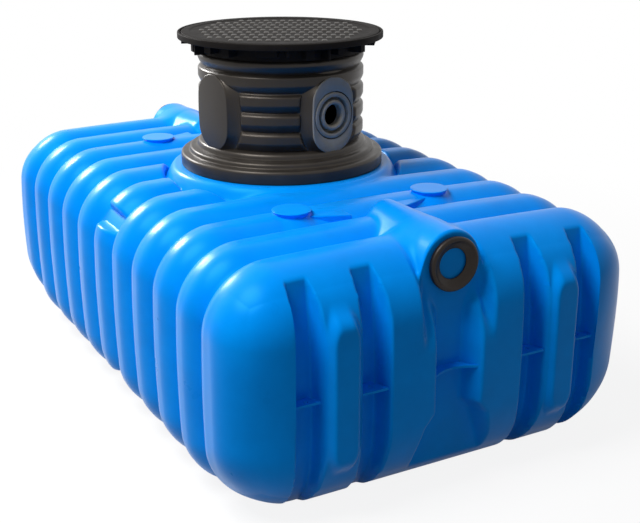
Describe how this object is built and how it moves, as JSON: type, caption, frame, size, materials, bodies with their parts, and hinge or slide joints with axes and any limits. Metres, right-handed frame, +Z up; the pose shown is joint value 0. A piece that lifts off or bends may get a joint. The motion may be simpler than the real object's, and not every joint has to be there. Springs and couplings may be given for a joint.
{
  "type": "underground water tank",
  "caption": "Flat underground rainwater tank in ribbed blue polyethylene with a black access shaft, round non-slip lid and rubber pipe seals",
  "frame": {"origin": "on the ground under the middle of the tank", "axes": "X across the tank, Y along the tank with the end in view at -Y, Z up"},
  "size_m": [1.54, 2.46, 1.3328],
  "materials": {
    "blue_polyethylene": "rotomoulded, semi-gloss",
    "black_polyethylene": "moulded, satin",
    "black_rubber": "moulded, matte"
  },
  "bodies": {
    "tank": {"back_end": "blue_polyethylene", "back_pipe_seal": "black_rubber", "back_web_left_inner": "blue_polyethylene", "back_web_left_outer": "blue_polyethylene", "back_web_middle": "blue_polyethylene", "back_web_right_inner": "blue_polyethylene", "back_web_right_outer": "blue_polyethylene", "floor_wall": "blue_polyethylene", "front_end": "blue_polyethylene", "front_pipe_seal": "black_rubber", "front_web_left_inner": "blue_polyethylene", "front_web_left_outer": "blue_polyethylene", "front_web_middle": "blue_polyethylene", "front_web_right_inner": "blue_polyethylene", "front_web_right_outer": "blue_polyethylene", "left_wall": "blue_polyethylene", "lid_frame": "black_polyethylene", "right_wall": "blue_polyethylene", "roof_back": "blue_polyethylene", "roof_deck": "blue_polyethylene", "roof_front": "blue_polyethylene", "shaft_body": "black_polyethylene", "shaft_foot": "black_polyethylene", "shaft_pipe_seal": "black_rubber"},
    "lid": {"lid": "black_polyethylene"}
  },
  "joints": [
    {"name": "lid_lift", "type": "slide", "parent": "tank", "child": "lid", "axis": [0, 0, 1], "range_m": [0, 0.3]}
  ]
}
